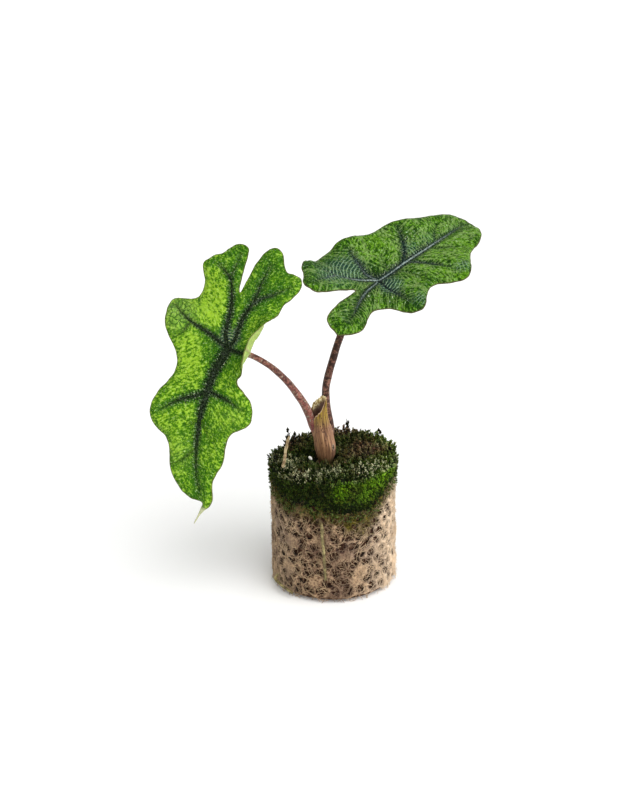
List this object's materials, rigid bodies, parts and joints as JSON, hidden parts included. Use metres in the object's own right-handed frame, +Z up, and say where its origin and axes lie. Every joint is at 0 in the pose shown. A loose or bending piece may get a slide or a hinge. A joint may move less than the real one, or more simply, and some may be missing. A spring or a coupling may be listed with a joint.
{
  "type": "jacklyn alocasia plug plant",
  "caption": "Young Jacklyn alocasia with lobed, dark-veined leaves on banded stalks, growing from a moss-topped fibre plug that stands on its flat underside.",
  "frame": {"origin": "centre of the plug's flat underside, on the surface that it stands on", "axes": "+Z up along the plug's axis; +X to the side of the level leaf and -X to the side of the hanging leaf, whose face looks towards -Y"},
  "size_m": [0.0902, 0.0658, 0.0994],
  "materials": {
    "medium": "damp crumbly peat and coir",
    "sleeve": "matted tan plant-fibre paper, punched with holes",
    "moss": "dense short moss, dark green with pale tips",
    "corm": "pale tan root skin",
    "sheath": "dry papery sheath with lengthwise fibres",
    "petiole": "pinkish brown stalk skin with dark cross bands",
    "leaf_light": "softly hairy quilted leaf, near-black veins",
    "leaf_dark": "softly hairy quilted leaf, bluish dark veins",
    "dry_stalk": "dry fibrous stalk",
    "perlite": "white foamy mineral grain"
  },
  "bodies": {
    "root": {"growing_medium": "medium", "fibre_sleeve": "sleeve", "moss": "moss", "corm_with_roots": "corm", "stem_sheath": "sheath", "petiole_left": "petiole", "petiole_right": "petiole", "leaf_left": "leaf_light", "leaf_right": "leaf_dark", "dry_stalk": "dry_stalk", "perlite_grain": "perlite"}
  },
  "joints": []
}
